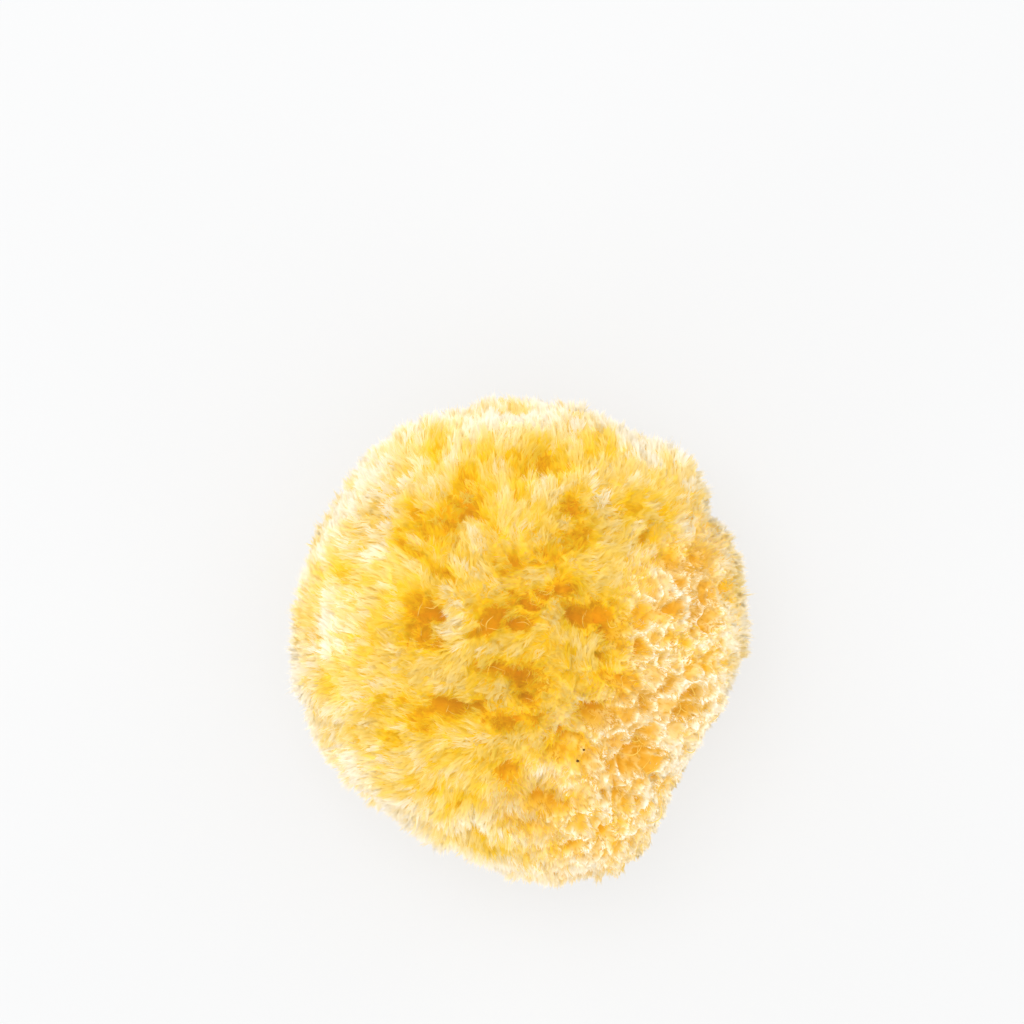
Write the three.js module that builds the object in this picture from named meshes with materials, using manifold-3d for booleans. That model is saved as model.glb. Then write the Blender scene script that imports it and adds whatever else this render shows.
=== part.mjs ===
// A natural bath sponge, dried and bleached: one soft mass that grew as one piece, cut off flat
// where it was attached to the rock. Millimetres, +Z up, the cut face on the plane z = 0.
//
// The sponge is star-shaped about its middle, so it starts as a ball whose every point is moved
// along its own ray: an egg-shaped mass, broad swellings and flats, rounded lobes, and the hollows
// between them. The surface runs over the tips of the fibres.
import * as THREE from "three";
import { mergeVertices } from "three/addons/utils/BufferGeometryUtils.js";
import Module from "manifold-3d";

const wasm = await Module();
wasm.setup();

// Driving dimensions
const HALF_WIDTH = 48.8; // X, from the middle of the mass over the fibre tips
const HALF_LENGTH = 50.6; // Y, likewise
const CROWN_HEIGHT = 40; // from the middle of the mass up to the crown
const CUT_DEPTH = 33; // from the middle of the mass down to the cut face
const ROOT_DEPTH = 45; // how far the mass would reach down if it weren't cut
const LOBE_RISE = 1.8; // from the valleys between lobes to their tops
const LOBE_COUNT = 72;
const FINENESS = 18; // rows of triangles along each edge of the starting icosahedron

// Broad swellings (rise > 0) and flats (rise < 0). The compass angle runs from +X towards +Y and
// the lift is the angle above level, both in degrees like the spread; the rise is in millimetres.
const SWELLINGS = [
  { compass: 288, lift: 3, rise: 4.6, spread: 19 }, // the chin of the outline
  { compass: 328, lift: -6, rise: -6.8, spread: 20 }, // the trimmed flank beside the chin
  { compass: 14, lift: 2, rise: 1.0, spread: 13 },
  { compass: 47, lift: 2, rise: 2.0, spread: 12 },
  { compass: 120, lift: 4, rise: 1.2, spread: 14 },
  { compass: 165, lift: 2, rise: 0.8, spread: 14 },
  { compass: 200, lift: 2, rise: 1.6, spread: 12 },
  { compass: 237, lift: -4, rise: -1.4, spread: 16 },
  { compass: 205, lift: 38, rise: 1.8, spread: 20 }, // shoulders of the crown
  { compass: 80, lift: 42, rise: 1.6, spread: 22 },
  { compass: 318, lift: 34, rise: -1.6, spread: 18 },
];

// The larger hollows on the crown, where water left the living sponge. Each place is seen from
// above, in millimetres from the middle of the mass; radius and depth are in millimetres too.
const CROWN_HOLLOWS = [
  // the row across the middle
  { x: -18.6, y: 3.4, radius: 4.6, depth: 4.4 },
  { x: -3.4, y: 4.0, radius: 4.4, depth: 4.0 },
  { x: 11.6, y: 6.0, radius: 4.8, depth: 4.6 },
  { x: 19.4, y: -1.6, radius: 3.8, depth: 3.4 },
  // below it
  { x: -0.6, y: -10.4, radius: 4.0, depth: 3.6 },
  { x: -13.4, y: -15.8, radius: 4.6, depth: 4.0 },
  { x: 15.4, y: -16.6, radius: 4.0, depth: 3.6 },
  { x: -29.6, y: -16.4, radius: 4.2, depth: 2.8 },
  { x: 4.6, y: -32.4, radius: 4.6, depth: 3.6 },
  { x: 24.6, y: -26.0, radius: 4.8, depth: 4.0 },
  // above it
  { x: -12.4, y: 27.4, radius: 5.6, depth: 4.0 },
  { x: 5.2, y: 36.4, radius: 4.8, depth: 3.6 },
  { x: 27.2, y: 25.6, radius: 4.2, depth: 3.2 },
  { x: 38.6, y: 3.4, radius: 4.4, depth: 3.2 },
];

// Hollows of the flanks, strewn below the crown's own, in millimetres and degrees.
const FLANK_HOLLOW_COUNT = 56; // over a whole ball, of which the flanks keep a belt
const FLANK_HOLLOW_RADIUS = { least: 3.6, most: 5.4 };
const FLANK_HOLLOW_DEPTH = { least: 1.6, most: 3.4 };
const FLANK_TOP = 30;

const DISORDER = 0.55; // how far lobes and hollows stray, as a share of their spacing
const SEED = 71;

const GOLDEN_ANGLE = Math.PI * (3 - Math.sqrt(5));

// Random numbers from 0 to 1 that are the same on every run.
function seededRandom(seed) {
  let state = seed;
  return () => {
    state = (state * 1664525 + 1013904223) % 2 ** 32;
    return state / 2 ** 32;
  };
}

function directionOf({ compass, lift }) {
  const turn = THREE.MathUtils.degToRad(compass);
  const tilt = THREE.MathUtils.degToRad(lift);
  return new THREE.Vector3(
    Math.cos(turn) * Math.cos(tilt),
    Math.sin(turn) * Math.cos(tilt),
    Math.sin(tilt),
  );
}

// Directions spread evenly round a ball, with some disorder, as growth gives.
function strewnDirections(count, random) {
  const spacing = Math.sqrt((4 * Math.PI) / count);
  return Array.from({ length: count }, (_, i) => {
    const z = 1 - (2 * i + 1) / count;
    const across = Math.sqrt(1 - z * z);
    const turn = i * GOLDEN_ANGLE;
    const even = new THREE.Vector3(across * Math.cos(turn), across * Math.sin(turn), z);
    const stray = new THREE.Vector3(random() - 0.5, random() - 0.5, random() - 0.5);
    return even.addScaledVector(stray, DISORDER * spacing).normalize();
  });
}

// Radius of the plain egg along a direction, as deep as the valleys between lobes.
function eggRadius(direction) {
  const halfHeight = direction.z > 0 ? CROWN_HEIGHT : ROOT_DEPTH;
  return 1 / Math.hypot(
    direction.x / (HALF_WIDTH - LOBE_RISE),
    direction.y / (HALF_LENGTH - LOBE_RISE),
    direction.z / (halfHeight - LOBE_RISE),
  );
}

function onEgg(direction) {
  return direction.clone().multiplyScalar(eggRadius(direction));
}

function swellingRise(direction, swellings) {
  return swellings.reduce((sum, { towards, rise, spread }) => {
    const apart = THREE.MathUtils.radToDeg(direction.angleTo(towards));
    return sum + rise * Math.exp(-((apart / spread) ** 2));
  }, 0);
}

// Each lobe is a low dome about its own direction, and neighbours meet in a valley.
function lobeRise(direction, lobes) {
  const reach = Math.sqrt((4 * Math.PI) / lobes.length) * 0.8;
  const nearest = Math.min(...lobes.map((lobe) => direction.angleTo(lobe)));
  return LOBE_RISE * Math.cos(Math.min(1, nearest / reach) * (Math.PI / 2)) ** 2;
}

// How far the surface dips at a point of the egg. Hollows that overlap don't add up.
function hollowDip(point, hollows) {
  const dips = hollows.map(({ middle, radius, depth }) => {
    const apart = point.distanceTo(middle) / radius;
    return depth * Math.exp(-(apart ** 2));
  });
  return Math.max(...dips);
}

// The crown's hollows, each with its middle on the egg right under its place seen from above.
function crownHollows() {
  return CROWN_HOLLOWS.map(({ x, y, radius, depth }) => {
    const outward = Math.hypot(x / HALF_WIDTH, y / HALF_LENGTH);
    const z = CROWN_HEIGHT * Math.sqrt(1 - outward ** 2);
    return { middle: onEgg(new THREE.Vector3(x, y, z).normalize()), radius, depth };
  });
}

function flankHollows(random) {
  const between = ({ least, most }) => THREE.MathUtils.lerp(least, most, random());
  const highest = Math.sin(THREE.MathUtils.degToRad(FLANK_TOP));
  return strewnDirections(FLANK_HOLLOW_COUNT, random)
    .filter((direction) => direction.z < highest)
    .map((direction) => ({
      middle: onEgg(direction),
      radius: between(FLANK_HOLLOW_RADIUS),
      depth: between(FLANK_HOLLOW_DEPTH),
    }))
    .filter(({ middle, radius }) => middle.z > radius - CUT_DEPTH);
}

// The whole mass as it grew, about its own middle, before it was cut.
function grownMass() {
  const random = seededRandom(SEED);
  const lobes = strewnDirections(LOBE_COUNT, random);
  const hollows = [...crownHollows(), ...flankHollows(random)];
  const swellings = SWELLINGS.map((swelling) => ({ ...swelling, towards: directionOf(swelling) }));

  const ball = new THREE.IcosahedronGeometry(1, FINENESS - 1);
  ball.deleteAttribute("normal");
  ball.deleteAttribute("uv");
  const mass = mergeVertices(ball, 1e-5);
  const positions = mass.getAttribute("position");
  const direction = new THREE.Vector3();
  for (let i = 0; i < positions.count; i++) {
    direction.fromBufferAttribute(positions, i).normalize();
    const radius = eggRadius(direction)
      + swellingRise(direction, swellings)
      + lobeRise(direction, lobes)
      - hollowDip(onEgg(direction), hollows);
    positions.setXYZ(i, direction.x * radius, direction.y * radius, direction.z * radius);
  }
  return mass;
}

function toSolid(geometry) {
  return new wasm.Manifold(new wasm.Mesh({
    numProp: 3,
    vertProperties: new Float32Array(geometry.getAttribute("position").array),
    triVerts: new Uint32Array(geometry.getIndex().array),
  }));
}

function toGeometry(solid) {
  const { vertProperties, triVerts } = solid.getMesh();
  const geometry = new THREE.BufferGeometry();
  geometry.setAttribute("position", new THREE.BufferAttribute(vertProperties, 3));
  geometry.setIndex(new THREE.BufferAttribute(triVerts, 1));
  return geometry;
}

// Everything below the cut, with room to spare on every side.
function belowTheCut() {
  const across = 4 * HALF_LENGTH;
  const block = new THREE.BoxGeometry(across, across, across);
  block.deleteAttribute("normal");
  block.deleteAttribute("uv");
  block.translate(0, 0, -CUT_DEPTH - across / 2);
  return mergeVertices(block);
}

function spongeGeometry() {
  const geometry = toGeometry(toSolid(grownMass()).subtract(toSolid(belowTheCut())));
  // The origin is on the cut face, under the middle of the outline.
  geometry.computeBoundingBox();
  const middle = geometry.boundingBox.getCenter(new THREE.Vector3());
  geometry.translate(-middle.x, -middle.y, CUT_DEPTH);
  geometry.computeVertexNormals();
  return geometry;
}

const bleachedFibre = new THREE.MeshStandardMaterial({
  color: new THREE.Color().setRGB(0.96, 0.8, 0.42, THREE.SRGBColorSpace),
  roughness: 0.95,
  metalness: 0,
});

const sponge = new THREE.Mesh(spongeGeometry(), bleachedFibre);
sponge.name = "sponge";

const part = new THREE.Group();
part.add(sponge);
export default part;
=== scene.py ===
"""A natural bath sponge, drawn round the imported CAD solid.

The CAD solid's surface runs close to the fibre tips. The sponge seen here is a porous body about a
millimetre inside it, honeycombed with hollows, and a fleece of fine fibres that stands on that body
in tufts and reaches out to the surface or a little past it. Lengths are in millimetres until a mesh
is made, which is in metres.
"""
import math
from itertools import product

import bpy
import numpy as np
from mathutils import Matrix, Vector
from mathutils.bvhtree import BVHTree


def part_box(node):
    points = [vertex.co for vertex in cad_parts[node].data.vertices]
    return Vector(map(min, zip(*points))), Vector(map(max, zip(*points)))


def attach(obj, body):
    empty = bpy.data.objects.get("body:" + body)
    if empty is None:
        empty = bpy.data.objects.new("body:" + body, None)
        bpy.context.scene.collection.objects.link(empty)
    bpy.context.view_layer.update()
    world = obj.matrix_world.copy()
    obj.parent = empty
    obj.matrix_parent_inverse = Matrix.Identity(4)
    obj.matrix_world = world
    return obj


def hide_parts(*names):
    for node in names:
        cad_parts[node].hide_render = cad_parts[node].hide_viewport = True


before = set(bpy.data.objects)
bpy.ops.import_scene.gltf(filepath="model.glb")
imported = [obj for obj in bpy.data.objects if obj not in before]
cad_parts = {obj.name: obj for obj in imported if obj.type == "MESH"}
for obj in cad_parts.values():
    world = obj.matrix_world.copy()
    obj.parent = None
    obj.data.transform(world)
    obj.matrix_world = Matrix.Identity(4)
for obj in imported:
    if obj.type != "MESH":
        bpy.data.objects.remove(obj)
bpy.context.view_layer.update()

MM = 0.001
NODE = "sponge"

# ---------------------------------------------------------------- sizes and places, in millimetres

LOW, HIGH = (np.array(corner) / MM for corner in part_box(NODE))
SIZE = HIGH - LOW
CORE = np.array([(LOW[0] + HIGH[0]) / 2, (LOW[1] + HIGH[1]) / 2, 0.45 * SIZE[2]])

FLEECE_DEPTH = 2.9  # length of a fibre, about, where the fleece is full
OPEN_FLEECE = 0.34  # the same on the open honeycomb side, as a share of that
BODY_CELLS = 118  # squares along each edge of the cube that the body's mesh is blown up from
FIBRES_PER_PIECE = 48500  # at most, which keeps each piece under 200,000 triangles
FLEECE_PIECES = 4
FIBRE_RADIUS = (0.09, 0.18)  # at the root, least and most
CLUMP = 5.6  # spacing of the clumps that the fleece parts into
TUFT = 2.6  # spacing of the tufts in a clump
WISP = 1.0  # spacing of the wisps that a tuft is made of

# Hollows as seen from above, from the middle of the outline: x, y, half length, half width,
# turn in degrees, depth. The shallow ones are patches where the deep yellow shows through.
HOLLOWS = [
    # the row of deep ones across the middle
    (-21.2, 7.8, 3.8, 2.2, 10, 6.0), (-22.0, 3.0, 2.6, 2.2, 80, 3.6),
    (-18.6, 0.6, 2.4, 1.0, 0, 4.0),
    (-6.5, 7.0, 4.6, 2.0, 35, 5.0), (-8.0, 4.0, 3.2, 1.6, 10, 4.6), (-1.6, 5.0, 2.8, 1.9, 30, 5.0),
    (0.8, 9.4, 3.0, 1.1, -10, 5.0), (8.6, 12.6, 2.2, 1.5, 30, 4.6), (4.0, 11.2, 1.7, 0.9, 0, 4.0),
    (12.0, 6.8, 3.4, 2.2, -10, 6.0), (16.6, 7.4, 2.0, 2.0, 0, 5.0), (18.6, 4.2, 2.6, 1.8, 70, 5.4),
    # under that row
    (-4.2, -4.8, 4.2, 1.3, -10, 4.4), (0.3, -6.5, 2.8, 1.4, -25, 5.0),
    (0.7, -11.2, 1.6, 0.9, 0, 4.4),
    (-17.0, -12.8, 4.8, 1.9, 3, 6.0), (-11.4, -13.3, 2.2, 1.2, -5, 4.4),
    (-24.5, -14.0, 3.6, 2.0, -35, 2.4),
    (14.5, -14.0, 3.4, 1.8, -5, 5.6), (17.0, -2.4, 1.9, 1.6, -40, 4.6),
    (19.6, -7.0, 3.4, 1.3, -20, 4.4),
    (-28.0, -19.8, 2.4, 0.9, 0, 3.2), (-1.0, -15.6, 4.5, 1.1, 0, 2.4),
    (-17.5, -23.4, 2.4, 1.0, 20, 2.2),
    (-41.0, -7.0, 1.2, 3.0, 0, 1.8), (-36.0, -19.5, 3.0, 0.9, 0, 1.6),
    (-30.5, -13.0, 1.0, 2.6, 0, 2.0),
    # above it, wide and shallow
    (-14.0, 28.6, 6.5, 2.5, 22, 3.2), (-12.0, 34.4, 2.0, 3.4, 0, 2.4),
    (-17.0, 24.2, 4.2, 2.0, -20, 3.2),
    (-24.0, 27.4, 1.4, 2.4, 0, 2.4), (-8.0, 27.0, 2.6, 2.0, 0, 3.0), (3.0, 39.4, 3.6, 3.0, 0, 2.6),
    (8.2, 37.8, 2.6, 2.4, 0, 2.8), (-1.2, 36.0, 1.2, 2.6, -15, 2.6), (-6.4, 41.4, 2.8, 1.0, 0, 2.0),
    (-19.0, 43.0, 1.2, 2.2, 0, 1.6), (11.0, 30.0, 1.9, 2.0, 0, 3.0),
    (16.0, 43.8, 2.4, 1.0, -25, 1.8),
    (14.0, 40.0, 3.2, 1.4, 10, 2.0), (23.0, 30.2, 1.5, 3.2, -20, 3.0),
    (26.0, 23.2, 1.8, 2.2, 0, 4.0),
    (31.0, 29.0, 1.2, 3.6, 5, 3.0), (28.4, 33.6, 1.2, 1.6, 0, 2.4),
    (-38.0, 15.0, 4.0, 1.6, -10, 2.2),
    (-24.0, 21.0, 3.4, 0.9, -32, 2.6), (-16.8, 16.0, 2.4, 0.8, -40, 2.6),
    (-3.0, 18.0, 2.4, 1.6, 20, 2.4),
    (-15.0, 21.6, 1.0, 1.8, 20, 3.4), (4.0, 19.0, 3.0, 1.0, 15, 1.6),
    (11.5, 23.0, 2.0, 1.4, 0, 1.8),
    # the open side
    (31.0, 17.6, 3.2, 2.2, -20, 3.6), (36.6, 18.2, 2.2, 2.0, 0, 3.0),
    (40.0, 10.4, 3.8, 3.0, 20, 3.0),
    (29.0, 8.0, 2.8, 1.6, 0, 3.6), (38.6, 4.8, 2.8, 1.6, 10, 3.6), (33.0, 1.6, 1.8, 1.2, 0, 3.0),
    (38.0, -3.4, 4.0, 1.8, 0, 3.6), (25.5, -10.4, 2.4, 1.2, -20, 3.6),
    (33.0, -13.2, 2.4, 1.5, 20, 3.6),
    (23.6, -18.6, 1.7, 1.1, 0, 3.6), (24.0, -24.0, 4.8, 2.6, -8, 5.0),
    (27.6, -28.6, 2.4, 1.2, 0, 3.4),
    (9.6, -19.4, 2.2, 1.3, 0, 4.6), (8.0, -22.2, 4.4, 1.6, 5, 4.0),
    (13.6, -24.4, 1.8, 3.2, 10, 4.0),
    (-3.2, -27.0, 3.4, 2.2, 10, 4.6), (-8.0, -24.2, 3.2, 1.8, 30, 2.4),
    (4.0, -33.2, 3.2, 2.4, -10, 4.6),
    (9.4, -33.0, 3.0, 1.0, -5, 3.6), (0.0, -38.2, 4.4, 1.2, 5, 3.2),
    (-5.0, -43.0, 3.2, 1.0, -20, 2.6),
    (20.6, -33.0, 2.0, 3.4, 10, 4.2), (17.0, -41.0, 3.6, 1.8, 50, 3.6),
    (1.0, -45.2, 2.4, 1.0, 0, 2.6),
    (8.4, -42.8, 2.4, 1.0, 0, 2.8), (-14.0, -33.6, 3.0, 0.9, 20, 2.0),
    (-22.0, -29.0, 3.2, 1.0, -25, 1.8),
]
# Middles of the honeycomb side and how far each part of it spreads, in degrees.
OPEN_SIDES = [
    {"compass": 316.0, "lift": 22.0, "spread": 50.0},
    {"compass": 4.0, "lift": 36.0, "spread": 30.0},
]
THREADS_PER_HOLLOW = 2
THREADED_DEPTH = 3.3  # hollows shallower than this have no threads over them
OPEN_THREADS = 60  # on the honeycomb side
THREAD_RADIUS = (0.07, 0.13)  # halfway along, least and most
NEEDLES = 6
NEEDLE_FOOT = np.array([14.8, 28.4])  # where the tuft of pale needles starts, as for HOLLOWS
GRAINS = [((10.8, -23.6), 0.32), ((12.1, -21.3), 0.24)]  # place, as for HOLLOWS, and radius
MIDDLE = np.array([0.8, -0.25])  # of the outline, from the middle of the CAD solid
WHORL = np.array([24.0, 0.0, 0.0])  # from the core; the fleece is combed away from there

EYE_HEIGHT = 900.0  # above the widest part of the sponge
WIDEST = 0.47  # height of that part, as a share of the sponge's height
PICTURE_SHARE = 0.4434  # of the picture's width, taken by the sponge
AIM = np.array([-0.020, 0.266])  # from the sponge's middle, as shares of its width and length


# ---------------------------------------------------------------- noise and cells

def lattice_values(corners, seed):
    """A fixed random number from -1 to 1 for each whole-numbered point in space."""
    mixed = corners @ np.array([73856093, 19349663, 83492791]) + seed * 2654435761
    mixed &= 0xFFFFFFFF
    mixed = ((mixed ^ (mixed >> 15)) * 2246822519) & 0xFFFFFFFF
    mixed = ((mixed ^ (mixed >> 13)) * 3266489917) & 0xFFFFFFFF
    mixed ^= mixed >> 16
    return mixed / 0x7FFFFFFF - 1.0


def noise(points, grain, seed):
    """Smooth noise from -1 to 1 whose swells are about grain across."""
    scaled = points / grain
    corner = np.floor(scaled).astype(np.int64)
    part = scaled - corner
    part = part * part * (3 - 2 * part)
    total = np.zeros(len(points))
    for step in product((0, 1), repeat=3):
        weight = np.prod(np.where(step, part, 1 - part), axis=1)
        total += weight * lattice_values(corner + np.array(step), seed)
    return total


def noise_vectors(points, grain, seed):
    return np.stack([noise(points, grain, seed + axis) for axis in range(3)], axis=1)


def cells(points, spacing, seed):
    """Points strewn through space: distance to the nearest and the next one, and the nearest."""
    scaled = points / spacing
    home = np.floor(scaled).astype(np.int64)
    nearest = np.full(len(points), np.inf)
    following = nearest.copy()
    where = np.zeros((len(points), 3))
    for step in product((-1, 0, 1), repeat=3):
        cell = home + np.array(step)
        stray = np.stack([lattice_values(cell, seed + axis) for axis in range(3)], axis=1)
        middle = cell + 0.5 + 0.45 * stray
        apart = np.linalg.norm(scaled - middle, axis=1)
        closer = apart < nearest
        following = np.where(closer, nearest, np.minimum(following, apart))
        nearest = np.where(closer, apart, nearest)
        where[closer] = middle[closer]
    return nearest * spacing, following * spacing, where * spacing


def smoothstep(low, high, value):
    part = np.clip((value - low) / (high - low), 0, 1)
    return part * part * (3 - 2 * part)


def unit(vectors):
    return vectors / np.maximum(np.linalg.norm(vectors, axis=-1, keepdims=True), 1e-12)


def across(vectors, axes):
    """The part of each vector that is square to its axis."""
    return vectors - np.sum(vectors * axes, axis=1, keepdims=True) * axes


# ---------------------------------------------------------------- the form, read from the CAD solid

class Form:
    """Distance from the core to the CAD surface in any direction, by a table of rays."""

    STEP = math.radians(1.5)

    def __init__(self, node):
        corners = [Vector(v.co) for v in node.data.vertices]
        tree = BVHTree.FromPolygons(corners, [p.vertices[:] for p in node.data.polygons])
        self.turns = round(2 * math.pi / self.STEP)
        self.tilts = round(math.pi / self.STEP) + 1
        core = Vector(CORE * MM)
        self.table = np.empty((self.tilts, self.turns))
        for row in range(self.tilts):
            tilt = row * self.STEP - math.pi / 2
            for column in range(self.turns):
                turn = column * self.STEP
                flat = math.cos(tilt)
                ray = Vector((math.cos(turn) * flat, math.sin(turn) * flat, math.sin(tilt)))
                self.table[row, column] = tree.ray_cast(core, ray)[3] / MM

    def radius(self, directions):
        tilt = (np.arcsin(np.clip(directions[:, 2], -1, 1)) + math.pi / 2) / self.STEP
        turn = (np.arctan2(directions[:, 1], directions[:, 0]) % (2 * math.pi)) / self.STEP
        row = np.clip(np.floor(tilt).astype(int), 0, self.tilts - 2)
        column = np.floor(turn).astype(int) % self.turns
        beside = (column + 1) % self.turns
        up, along = tilt - row, turn - np.floor(turn)
        below = self.table[row, column] * (1 - along) + self.table[row, beside] * along
        above = self.table[row + 1, column] * (1 - along) + self.table[row + 1, beside] * along
        return below * (1 - up) + above * up

    def surface(self, directions):
        return CORE + directions * self.radius(directions)[:, None]

    def normals(self, directions, reach=0.05):
        """Outward normals of the form, smoothed over reach, a share of the radius."""
        upright = np.abs(directions[:, 2:]) >= 0.9
        side = unit(np.cross(directions, np.where(upright, [1, 0, 0], [0, 0, 1])))
        other = np.cross(directions, side)
        slopes = [
            self.surface(unit(directions + reach * way)) - self.surface(unit(directions - reach * way))
            for way in (side, other)
        ]
        normals = unit(np.cross(*slopes))
        return normals * np.sign(np.sum(normals * directions, axis=1, keepdims=True))


form = Form(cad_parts[NODE])


# ---------------------------------------------------------------- what the surface is like at a place

def towards(compass, lift):
    turn, tilt = math.radians(compass), math.radians(lift)
    return np.array([math.cos(turn) * math.cos(tilt), math.sin(turn) * math.cos(tilt), math.sin(tilt)])


def openness(directions, points):
    """How far the fleece gives way to open honeycomb: 0 is full fleece, 1 is bare honeycomb."""
    side = np.zeros(len(points))
    for part in OPEN_SIDES:
        middle = towards(part["compass"], part["lift"])
        apart = np.degrees(np.arccos(np.clip(directions @ middle, -1, 1)))
        side = np.maximum(side, 1 - smoothstep(0.35, 1.25, apart / part["spread"]))
    patches = 0.3 * noise(points, 14, 5) + 0.12 * noise(points, 6, 8)
    return np.clip(side + patches * (1 - 0.5 * side), 0, 1)


def underside(points):
    """1 on the cut face, fading to 0 a few millimetres up the flank."""
    return 1 - smoothstep(0.3, 3.4, points[:, 2])


def painted_rim_light(outward, points):
    """Painted rim light: how far the fleece is paled where it turns away from the top, most round the
    shoulder, less down the flank.
    """
    rim = 1 - np.clip(outward[:, 2], 0, 1)
    return rim * (0.45 + 0.55 * smoothstep(26, 47, points[:, 2]))


def hollow_dip(points):
    """Depth of the crown's own hollows, the deepest one counting, and how near one is (0 to 1)."""
    dip, near = np.zeros(len(points)), np.zeros(len(points))
    wander = 0.9 * np.stack([noise(points, 3.0, 31), noise(points, 3.0, 32)], axis=1)
    wander += 0.5 * np.stack([noise(points, 1.4, 35), noise(points, 1.4, 36)], axis=1)
    for x, y, long, wide, turn, depth in HOLLOWS:
        away = points[:, :2] + wander - MIDDLE - (x, y)
        cos, sin = math.cos(math.radians(turn)), math.sin(math.radians(turn))
        along = (away[:, 0] * cos + away[:, 1] * sin) / (long + 0.5)
        aside = (away[:, 1] * cos - away[:, 0] * sin) / (wide + 0.5)
        apart = np.hypot(along, aside)
        dip = np.maximum(dip, 0.75 * depth * (1 - smoothstep(0.3, 1.4, apart)))
        near = np.maximum(near, 1 - smoothstep(0.8, 1.8, apart))
    crown = smoothstep(CORE[2] - 14, CORE[2] - 6, points[:, 2])
    return dip * crown, near * crown


def honeycomb(points, spacing, wall, seed):
    """0 on the walls between honeycomb cells and up to 1 on their floors, by cell."""
    warped = points + 1.1 * noise_vectors(points, 3.2, seed + 40)
    nearest, following, where = cells(warped, spacing, seed)
    whole = np.floor(where * 64).astype(np.int64)
    share = 0.6 + 0.4 * lattice_values(whole, seed + 7)
    return smoothstep(0.3 * wall, 1.7 * wall, following - nearest) * share


def fleece_depth(open_, under):
    return FLEECE_DEPTH * (1 - (1 - OPEN_FLEECE) * open_) * (1 - under)


def clumps(points):
    """1 in the middle of each clump of the fleece and 0 in the partings between clumps."""
    near, far, _ = cells(points + 1.6 * noise_vectors(points, 4.5, 60), CLUMP, 17)
    return smoothstep(0.0, 1.7, far - near)


def carve(directions):
    """The body under each direction: its radius and what it is like there."""
    points = form.surface(directions)
    open_ = openness(directions, points)
    under = underside(points)
    parting = 1 - clumps(points)
    coarse = honeycomb(points, 4.8, 0.8, 21)
    fine = honeycomb(points, 2.6, 0.7, 25)
    own, near = hollow_dip(points)
    flank = (0.6 + 0.6 * (1 - open_)) * parting
    flank += (0.3 + 2.4 * open_) * coarse
    flank += (0.3 + 0.9 * open_) * fine
    base = 4.8 * coarse * smoothstep(-0.3, 0.4, noise(points, 9, 12)) + 1.5 * fine
    sunk = (1 - under) * flank + under * base
    dip = np.maximum(sunk, 0.3 * sunk + own * (1 - under))
    ragged = 0.28 * noise(points, 1.6, 44) + 0.16 * noise(points, 0.8, 45)
    radius = form.radius(directions) + 0.4 + 1.3 * open_ - 0.45 * fleece_depth(open_, under) - dip
    radius += ragged * (1 - smoothstep(0.0, 1.0, under) * (1 - np.clip(dip, 0, 1)))
    pit = np.clip(np.maximum(coarse, 0.6 * fine), 0, 1)
    return {
        "radius": radius, "dip": dip, "own": own, "near": near, "pit": pit,
        "open": open_, "under": under, "parting": parting,
    }


# ---------------------------------------------------------------- meshes

def new_piece(name, points, triangles, material, attributes, normals=None):
    """A mesh object from arrays in millimetres, with float attributes on its points.

    The colour follows from the attributes alone, so the UV map is laid out by them, for the
    export's bake: yellow to the left, peach to the right and fibre tips at the top.
    """
    mesh = bpy.data.meshes.new(name)
    mesh.vertices.add(len(points))
    mesh.vertices.foreach_set("co", (points * MM).astype(np.float32).ravel())
    mesh.loops.add(triangles.size)
    mesh.loops.foreach_set("vertex_index", triangles.astype(np.int32).ravel())
    mesh.polygons.add(len(triangles))
    mesh.polygons.foreach_set("loop_start", np.arange(0, triangles.size, 3, dtype=np.int32))
    mesh.update(calc_edges=True)
    mesh.shade_smooth()
    for title, values in attributes.items():
        made = mesh.attributes.new(title, "FLOAT", "POINT")
        made.data.foreach_set("value", values.astype(np.float32))
    if attributes:
        across_map = 0.48 * attributes["shade"] + 0.52 * attributes["blush"]
        look_up = np.stack([across_map, attributes["reach"]], axis=1)[triangles.ravel()]
        mesh.uv_layers.new(name="OFBake").data.foreach_set("uv", look_up.astype(np.float32).ravel())
    if normals is not None:
        mesh.normals_split_custom_set_from_vertices(normals.astype(np.float32))
    mesh.materials.append(material)
    piece = bpy.data.objects.new(name, mesh)
    bpy.context.scene.collection.objects.link(piece)
    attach(piece, "root")
    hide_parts(NODE)
    return piece


def point_normals(points, triangles):
    """Normal at each point of a closed mesh, the mean of the faces round it by area."""
    corners = points[triangles]
    faces = np.cross(corners[:, 1] - corners[:, 0], corners[:, 2] - corners[:, 0])
    which = triangles.ravel()
    parts = np.repeat(faces, 3, axis=0)
    sums = [np.bincount(which, parts[:, axis], len(points)) for axis in range(3)]
    return unit(np.stack(sums, axis=1))


def ball_mesh(count):
    """Directions and triangles of a cube with count squares along each edge, blown up to a ball."""
    steps = np.arange(count + 1)
    u, v = (grid.ravel() for grid in np.meshgrid(steps, steps, indexing="ij"))
    sheets, quads = [], []
    a = np.arange(count)
    i, j = (grid.ravel() for grid in np.meshgrid(a, a, indexing="ij"))
    corner = i * (count + 1) + j
    quad = np.stack([corner, corner + count + 1, corner + count + 2, corner + 1], axis=1)
    for axis, far in product(range(3), (0, count)):
        sheet = np.empty((len(u), 3), dtype=np.int64)
        sheet[:, axis] = far
        sheet[:, (axis + 1) % 3] = u
        sheet[:, (axis + 2) % 3] = v
        quads.append((quad if far else quad[:, ::-1]) + len(sheets) * len(u))
        sheets.append(sheet)
    places, index = np.unique(np.concatenate(sheets), axis=0, return_inverse=True)
    index = index.ravel()
    quads = index[np.concatenate(quads)]
    directions = unit(np.tan((places / count - 0.5) * math.pi / 2))
    return directions, quads


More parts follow.
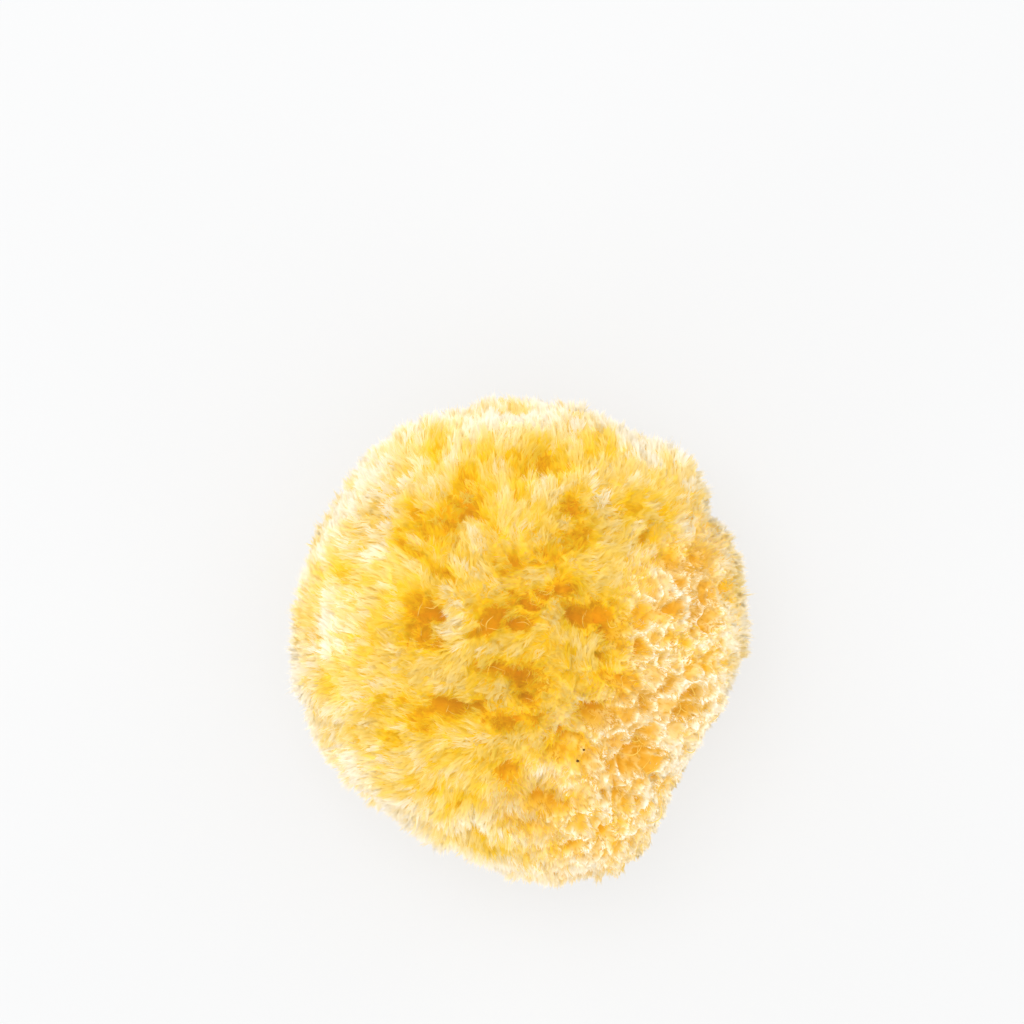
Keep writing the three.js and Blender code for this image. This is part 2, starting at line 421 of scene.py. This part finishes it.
def split_quads(points, quads):
    """Cuts each four-sided face along its shorter diagonal."""
    first = np.linalg.norm(points[quads[:, 0]] - points[quads[:, 2]], axis=1)
    second = np.linalg.norm(points[quads[:, 1]] - points[quads[:, 3]], axis=1)
    turned = np.where((first <= second)[:, None], quads, np.roll(quads, 1, axis=1))
    return np.concatenate([turned[:, [0, 1, 2]], turned[:, [0, 2, 3]]])


# ---------------------------------------------------------------- materials

def node(tree, kind, **settings):
    made = tree.nodes.new(kind)
    for name, value in settings.items():
        setattr(made, name, value)
    return made


def ramp(tree, factor, stops):
    made = node(tree, "ShaderNodeValToRGB")
    elements = made.color_ramp.elements
    while len(elements) < len(stops):
        elements.new(0.5)
    for element, (place, colour) in zip(elements, stops):
        element.position = place
        element.color = (*colour, 1)
    tree.links.new(factor, made.inputs["Fac"])
    return made.outputs["Color"]


def attribute(tree, name):
    return node(tree, "ShaderNodeAttribute", attribute_name=name).outputs["Fac"]


def mix(tree, factor, a, b):
    made = node(tree, "ShaderNodeMix", data_type="RGBA")
    tree.links.new(factor, made.inputs["Factor"])
    tree.links.new(a, made.inputs[6])
    tree.links.new(b, made.inputs[7])
    return made.outputs[2]


def new_material(name):
    material = bpy.data.materials.new(name)
    material.use_nodes = True
    shader = material.node_tree.nodes["Principled BSDF"]
    shader.inputs["Roughness"].default_value = 0.95
    shader.inputs["Specular IOR Level"].default_value = 0.02
    return material, material.node_tree, shader


# Colours by shade, from the bottom of the hollows (0) to the palest fleece (1). The low end carries the
# painted shade of the hollows, and the high end partly carries the painted rim light round the
# shoulder.
YELLOW_ROOTS = [
    (0.0, (0.75, 0.29, 0.002)), (0.2, (0.90, 0.53, 0.006)), (0.45, (0.92, 0.61, 0.07)),
    (0.75, (0.94, 0.69, 0.21)), (1.0, (0.95, 0.82, 0.50)),
]
YELLOW_TIPS = [
    (0.0, (0.80, 0.38, 0.004)), (0.2, (0.93, 0.62, 0.014)), (0.45, (0.93, 0.68, 0.17)),
    (0.75, (0.94, 0.78, 0.43)), (1.0, (0.96, 0.92, 0.84)),
]
# The peach of the open side is kept a little darker than the yellow: partly its own colour and partly
# painted shade on that side of the sponge.
PEACH_ROOTS = [
    (0.0, (0.70, 0.30, 0.012)), (0.25, (0.76, 0.39, 0.045)), (0.5, (0.79, 0.48, 0.12)),
    (0.75, (0.86, 0.63, 0.29)), (1.0, (0.93, 0.79, 0.50)),
]
PEACH_TIPS = [
    (0.0, (0.75, 0.38, 0.04)), (0.25, (0.79, 0.47, 0.11)), (0.5, (0.82, 0.58, 0.26)),
    (0.75, (0.89, 0.77, 0.54)), (1.0, (0.94, 0.91, 0.84)),
]
# A painted glow: the fibre gives off a little light of its own, standing in for light scattered on
# through the fibres, which shows in their shadows.
GLOW = (0.95, 0.58, 0.07)
GLOW_STRENGTH = 0.16


def fibre_colour(tree):
    """Roots to tips along each fibre, in the yellow of the fleece or the peach of the open side."""
    shade, reach, blush = (attribute(tree, name) for name in ("shade", "reach", "blush"))
    # The roots are deeper in colour than the tips: partly the fibre's own colour and partly painted
    # shade down in the fleece.
    curve = node(tree, "ShaderNodeMath", operation="POWER")
    tree.links.new(reach, curve.inputs[0])
    curve.inputs[1].default_value = 1.1
    along = curve.outputs[0]
    yellow = mix(tree, along, ramp(tree, shade, YELLOW_ROOTS), ramp(tree, shade, YELLOW_TIPS))
    peach = mix(tree, along, ramp(tree, shade, PEACH_ROOTS), ramp(tree, shade, PEACH_TIPS))
    return mix(tree, blush, yellow, peach)


def sponge_material(name):
    material, tree, shader = new_material(name)
    tree.links.new(fibre_colour(tree), shader.inputs["Base Color"])
    # The painted glow, standing in for light scattered through the fibre.
    shader.inputs["Emission Color"].default_value = (*GLOW, 1)
    shader.inputs["Emission Strength"].default_value = GLOW_STRENGTH
    return material


# ---------------------------------------------------------------- the body

def blush_of(open_, points):
    """Where the fibre is peach rather than yellow: on the open side and in patches."""
    return np.clip(1.1 * open_ + 0.5 * noise(points, 12, 33) - 0.15, 0, 1)


def body():
    directions, quads = ball_mesh(BODY_CELLS)
    there = carve(directions)
    points = CORE + directions * there["radius"][:, None]
    points[:, 2] = np.maximum(points[:, 2], 0)
    bare = np.clip(there["open"] + there["under"], 0, 1)
    # Painted rim light: the body is paler where it turns away from the top.
    rim = painted_rim_light(form.normals(directions), points)
    ridge = there["open"] * (1 - there["pit"]) ** 2
    # Painted shade: the deeper the body sinks into partings, pits and hollows, and the nearer it is to
    # a hollow, the darker and deeper its colour. It is also a little darker on the open side, partly
    # its own colour and partly painted shade on that side.
    shade = 0.4 - 0.1 * there["open"] + 0.3 * rim - there["dip"] / 12 - 0.16 * there["near"]
    shade += 0.2 * noise(points, 1.4, 46) + 0.75 * ridge
    shade = np.clip(shade, 0, 1)
    reach = 0.1 + 0.85 * bare * (1 - there["pit"]) ** 1.5 * np.clip(1.2 - there["own"] / 3, 0, 1)
    blush = blush_of(there["open"], points)
    triangles = split_quads(points, quads)
    marks = {"shade": shade, "reach": reach, "blush": blush}
    lifted = point_normals(points, triangles)
    lifted = unit(lifted + (1 - there["under"])[:, None] * ([0, 0, 1.2] + 0.4 * directions))
    new_piece("sponge_body", points, triangles, sponge_material("bleached_body"), marks, lifted)
    return points, triangles


# ---------------------------------------------------------------- the fleece

def strew_roots(points, triangles, count, random):
    """Random places on the body, fewer in hollows and none on the cut face."""
    corners = points[triangles]
    middle = corners.mean(axis=1)
    edges = corners[:, 1] - corners[:, 0], corners[:, 2] - corners[:, 0]
    area = np.linalg.norm(np.cross(*edges), axis=1)
    there = carve(unit(middle - CORE))
    cover = (1 - there["under"]) * (1 - 0.5 * there["parting"])
    cover *= 1 - 0.7 * smoothstep(1.6, 3.4, there["own"])
    cover *= 1 - 0.88 * there["open"] * smoothstep(0.05, 0.5, there["pit"])
    cover *= 1 - 0.2 * there["open"]
    cover *= 0.5 + 0.5 * smoothstep(8, 36, middle[:, 2])
    chance = np.cumsum(area * cover)
    chosen = np.searchsorted(chance, random.random(count) * chance[-1])
    share = random.random((count, 2))
    share = np.where(share.sum(axis=1, keepdims=True) > 1, 1 - share, share)
    picked = corners[chosen]
    roots = (
        picked[:, 0]
        + share[:, :1] * (picked[:, 1] - picked[:, 0])
        + share[:, 1:] * (picked[:, 2] - picked[:, 0])
    )
    return roots, {name: values[chosen] for name, values in there.items()}


def hashed(places, seed):
    """A random number from 0 to 1 for each tuft or wisp, the same for every fibre in it."""
    return 0.5 + 0.5 * lattice_values(np.floor(places * 64).astype(np.int64), seed)


def fibre_lines(roots, there, random):
    """Root, tip, shade, blush, shading normal and radius of each fibre, in wisps and tufts."""
    count = len(roots)
    outward = form.normals(unit(roots - CORE))
    tuft_apart, _, tuft = cells(roots, TUFT, 70)
    wisp_apart, _, wisp = cells(roots, WISP, 80)
    aside = np.stack([hashed(tuft, 93 + axis) for axis in range(3)], axis=1) - 0.5
    away = (tuft - CORE - WHORL) * [1, 1, 0]
    combed = away / (np.linalg.norm(away, axis=1, keepdims=True) + 12)
    fleecy = (1 - there["open"])[:, None]
    lean = (1.1 * noise_vectors(tuft, 14, 90) + 0.9 * combed) * (0.4 + 0.6 * fleecy) + 0.7 * aside
    lean += 0.9 * (np.stack([hashed(wisp, 83 + axis) for axis in range(3)], axis=1) - 0.5)
    axes = unit(outward + across(lean, outward))
    length = fleece_depth(there["open"], there["under"]) * (0.75 + 0.45 * hashed(tuft, 97))
    length *= 1 - 0.2 * np.minimum(1, tuft_apart / 1.6) ** 2
    length *= 1 - 0.2 * np.minimum(1, wisp_apart / 0.7) ** 2
    length *= (1 - 0.25 * there["parting"]) * (1 - 0.6 * smoothstep(0.8, 3.4, there["own"]))
    length *= (0.9 + 0.35 * hashed(wisp, 98)) * random.uniform(0.85, 1.12, count)
    length = np.maximum(length, 0.7)
    gather = 0.55 * across(wisp - roots, axes) + 0.1 * across(tuft - roots, axes)
    flyaway = random.random(count) < 0.1
    length *= 1 + 0.35 * flyaway
    stray = across(random.normal(0, 0.18, (count, 3)), axes) * (1 + 2 * flyaway[:, None])
    tips = roots + axes * length[:, None] + gather + stray
    tips[:, 2] = np.maximum(tips[:, 2], 0.05)
    over, near = hollow_dip(tips)
    # Painted light and shade in the fibres' colour: paler round the shoulder as painted rim light, and
    # darker and deeper in and near the hollows as painted shade. The noise and the tuft and wisp
    # numbers give the fibre's own uneven tone.
    shade = 0.46 + 0.8 * painted_rim_light(outward, roots) + 0.02 * there["open"] - there["dip"] / 26
    shade += 0.12 * noise(tuft, 11, 95) - 0.31 * np.maximum(near, there["near"])
    shade -= 0.28 * smoothstep(2.0, 3.6, there["own"])
    shade += 0.44 * (hashed(tuft, 96) - 0.5) + 0.18 * (hashed(wisp, 99) - 0.5)
    blush = (random.random(count) < blush_of(there["open"], tuft)).astype(float)
    lift = (0.35 + 0.65 * smoothstep(0.1, 0.6, outward[:, 2]))[:, None] * [0, 0, 1.0]
    dome = unit(outward + 0.6 * across(tips - tuft, outward) / TUFT + lift)
    bridging = np.clip(smoothstep(1.0, 3.0, over) - smoothstep(1.0, 3.0, there["own"]), 0, 1)
    kept = random.random(count) > 0.85 * bridging
    radius = random.uniform(*FIBRE_RADIUS, count) * (1 - 0.45 * flyaway)
    lines = (roots, tips, np.clip(shade, 0, 1), blush, dome, radius)
    return [part[kept][:FIBRES_PER_PIECE * FLEECE_PIECES] for part in lines]


def fibre_mesh(name, roots, tips, shade, blush, dome, radius, random, material):
    """Each fibre is a slim closed spike with three sides, shaded as part of its tuft."""
    count = len(roots)
    axes = unit(tips - roots)
    side = unit(across(random.normal(0, 1, (count, 3)), axes))
    other = np.cross(axes, side)
    base = roots - 0.35 * axes
    points = np.empty((count, 4, 3))
    for corner in range(3):
        turn = corner * 2 * math.pi / 3
        points[:, corner] = base + radius[:, None] * (math.cos(turn) * side + math.sin(turn) * other)
    points[:, 3] = tips
    points[:, :, 2] = np.maximum(points[:, :, 2], 0)
    around = unit(np.repeat(dome, 4, axis=0) + 0.08 * unit(points - roots[:, None]).reshape(-1, 3))
    pattern = np.array([[0, 2, 1], [0, 1, 3], [1, 2, 3], [2, 0, 3]])
    triangles = (pattern[None] + 4 * np.arange(count)[:, None, None]).reshape(-1, 3)
    reach = np.tile([0.0, 0.0, 0.0, 1.0], count)
    marks = {"shade": np.repeat(shade, 4), "reach": reach, "blush": np.repeat(blush, 4)}
    return new_piece(name, points.reshape(-1, 3), triangles, material, marks, around)


def fleece(points, triangles, material):
    random = np.random.default_rng(7)
    roots, there = strew_roots(points, triangles, round(1.2 * FIBRES_PER_PIECE * FLEECE_PIECES), random)
    lines = fibre_lines(roots, there, random)
    compass = np.arctan2(lines[0][:, 1] - CORE[1], lines[0][:, 0] - CORE[0])
    for number, chosen in enumerate(np.array_split(np.argsort(compass), FLEECE_PIECES), 1):
        fibre_mesh(f"fleece_{number}", *(part[chosen] for part in lines), random, material)


# ---------------------------------------------------------------- threads and grains

def on_form(places):
    """Points of the form's surface above places given as x, y."""
    points = np.column_stack([places, np.full(len(places), HIGH[2])])
    for _ in range(8):
        points[:, 2] = form.surface(unit(points - CORE))[:, 2]
    return points


def tube(path, radius):
    """A closed three-sided tube along a path, thinned almost to a point at both ends."""
    along = unit(np.gradient(path, axis=0))
    side = unit(across(np.tile([0.3, 0.2, 1.0], (len(path), 1)), along))
    other = np.cross(along, side)
    swell = radius * np.sin(np.linspace(0.12, math.pi - 0.12, len(path)))[:, None]
    rings = [
        path + swell * (math.cos(turn) * side + math.sin(turn) * other)
        for turn in (0, 2 * math.pi / 3, 4 * math.pi / 3)
    ]
    points = np.stack(rings, axis=1).reshape(-1, 3)
    faces = [[0, 2, 1]]
    for ring in range(len(path) - 1):
        for corner in range(3):
            a, b = 3 * ring + corner, 3 * ring + (corner + 1) % 3
            faces += [[a, b, b + 3], [a, b + 3, a + 3]]
    last = 3 * (len(path) - 1)
    faces.append([last, last + 1, last + 2])
    return points, np.array(faces)


def thread_path(start, end, sunk, bend, random):
    """A sagging, slightly wandering line from one point to another, sunk below the fibre tips."""
    share = np.linspace(0, 1, 8)[:, None]
    aside = np.cross(end - start, [0, 0, 1.0]) * bend * random.uniform(-0.5, 0.5)
    path = start + (end - start) * share + aside * np.sin(math.pi * share)
    path[:, 2] -= sunk + bend * random.uniform(0.3, 1.2) * np.sin(math.pi * share[:, 0])
    return path + 0.25 * bend * noise_vectors(path, 1.5, 64)


def threads(material):
    """Lone threads over the hollows and the honeycomb, and one tuft of pale needles."""
    random = np.random.default_rng(23)
    ends = []  # of each thread: both places, how far it is sunk, its shade and its bend
    for x, y, long, wide, turn, depth in HOLLOWS:
        if depth < THREADED_DEPTH:
            continue
        for _ in range(THREADS_PER_HOLLOW):
            spin = random.uniform(0, 2 * math.pi)
            lean = random.uniform(-0.8, 0.8)
            near, far = 1.3, random.uniform(-0.8, 0.3)
            reach = np.array([[near * math.cos(spin), near * math.sin(spin)],
                              [far * math.cos(spin + lean), far * math.sin(spin + lean)]])
            reach *= [long, wide]
            tilt = math.radians(turn)
            turned = np.array([[math.cos(tilt), math.sin(tilt)], [-math.sin(tilt), math.cos(tilt)]])
            ends.append((MIDDLE + (x, y) + reach @ turned, 2.1, 0.45, 1.0))
    for _ in range(OPEN_THREADS):
        middle = towards(OPEN_SIDES[0]["compass"] + random.normal(0, 28), 34 + random.normal(0, 14))
        place = form.surface(middle[None])[0]
        spin = random.uniform(0, 2 * math.pi)
        long = random.uniform(1.2, 3.2)
        step = long * np.array([math.cos(spin), math.sin(spin)])
        ends.append((np.array([place[:2] - step, place[:2] + step]), 0.9, 0.45, 1.0))
    for number in range(NEEDLES):
        foot = MIDDLE + NEEDLE_FOOT + (0.25 * number, random.uniform(-0.6, 0.6))
        tip = foot + (0.9 + 0.22 * number, random.uniform(3.2, 4.8))
        ends.append((np.array([foot, tip]), 0.1, 1.0, 0.1))
    points, faces, shades, count = [], [], [], 0
    for places, sunk, shade, bend in ends:
        start, end = on_form(np.array(places))
        path = thread_path(start, end, sunk, bend, random)
        tube_points, tube_faces = tube(path, random.uniform(*THREAD_RADIUS))
        points.append(tube_points)
        faces.append(tube_faces + count)
        shades.append(np.full(len(tube_points), shade))
        count += len(tube_points)
    points, faces = np.concatenate(points), np.concatenate(faces)
    marks = {
        "shade": np.concatenate(shades),
        "reach": np.full(count, 0.6),
        "blush": np.full(count, 0.2),
    }
    lifted = unit(point_normals(points, faces) * 0.4 + [0, 0, 1.0])
    new_piece("threads", points, faces, material, marks, lifted)


def grains():
    """Two dark grains caught in the fibre near the open side."""
    material, _, shader = new_material("dark_grain")
    shader.inputs["Base Color"].default_value = (0.14, 0.07, 0.02, 1)
    points, faces = [], []
    directions, quads = ball_mesh(2)
    for number, (place, radius) in enumerate(GRAINS):
        middle = on_form(np.array([place]) + MIDDLE)[0] - [0, 0, 1.0]
        points.append(middle + radius * directions * [1.2, 0.9, 0.8])
        faces.append(split_quads(directions, quads) + number * len(directions))
    new_piece("dark_grains", np.concatenate(points), np.concatenate(faces), material, {})


# ---------------------------------------------------------------- stage, light and camera

def stage():
    """A floor that glows a little, so that the shadow on it stays faint."""
    bpy.ops.mesh.primitive_plane_add(size=6, location=(0, 0, 0))
    floor = bpy.context.object
    floor.name = "floor"
    material, _, shader = new_material("floor_white")
    shader.inputs["Base Color"].default_value = (0.24, 0.243, 0.246, 1)
    shader.inputs["Emission Color"].default_value = (1, 1, 1, 1)
    shader.inputs["Emission Strength"].default_value = 0.63
    floor.data.materials.append(material)


def area_light(name, place, size, power):
    light = bpy.data.lights.new(name, "AREA")
    light.size = size
    light.energy = power
    lamp = bpy.data.objects.new(name, light)
    lamp.location = place
    lamp.rotation_euler = (Vector(CORE * MM) - lamp.location).to_track_quat("-Z", "Y").to_euler()
    lamp.visible_camera = False
    bpy.context.scene.collection.objects.link(lamp)


def lighting():
    world = bpy.data.worlds.new("studio")
    bpy.context.scene.world = world
    world.use_nodes = True
    background = world.node_tree.nodes["Background"]
    background.inputs["Color"].default_value = (1, 1, 1, 1)
    background.inputs["Strength"].default_value = 1.0
    area_light("key", (-0.17, 0.21, 1.0), 0.5, 2.4)
    for number, (compass, power) in enumerate(((45, 3.8), (135, 4.2), (225, 4.2), (315, 3)), 1):
        turn = math.radians(compass)
        place = (1.1 * math.cos(turn), 1.1 * math.sin(turn), 0.2)
        area_light(f"side_{number}", place, 0.6, power)


def camera():
    """Looks straight down from where the sponge stands low in the picture and a little right."""
    middle = (LOW + HIGH) / 2
    width_seen = SIZE[0] / PICTURE_SHARE
    lens = bpy.data.cameras.new("camera")
    lens.sensor_width = 36
    lens.lens = lens.sensor_width * EYE_HEIGHT / width_seen
    lens.clip_end = 20
    eye = bpy.data.objects.new("camera", lens)
    over = middle[:2] + AIM * SIZE[:2]
    eye.location = np.append(over, WIDEST * SIZE[2] + EYE_HEIGHT) * MM
    bpy.context.scene.collection.objects.link(eye)
    bpy.context.scene.camera = eye


camera()
fibre = sponge_material("bleached_fibre")
fleece(*body(), fibre)
threads(fibre)
grains()
stage()
lighting()
bpy.context.scene.view_settings.view_transform = "Standard"
